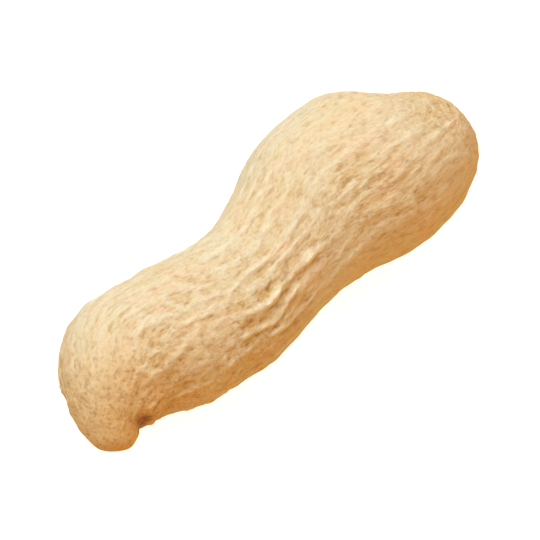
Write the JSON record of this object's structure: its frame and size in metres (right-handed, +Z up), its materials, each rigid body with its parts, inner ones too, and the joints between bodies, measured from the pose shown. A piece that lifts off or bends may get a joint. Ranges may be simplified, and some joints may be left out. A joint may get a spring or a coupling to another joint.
{
  "type": "peanut",
  "caption": "Peanut in its shell: a waisted two-lobed pod with a raised net, a bent beak at one end and a stem scar at the other, lying on its side.",
  "frame": {"origin": "on the surface the pod rests on, under the middle of its box", "axes": "+X along the pod, from the beak to the stem scar; +Z up from the resting spots"},
  "size_m": [0.0442, 0.0158, 0.0147],
  "materials": {
    "shell": "dry, matt, papery shell"
  },
  "bodies": {
    "root": {"peanut_pod": "shell"}
  },
  "joints": []
}
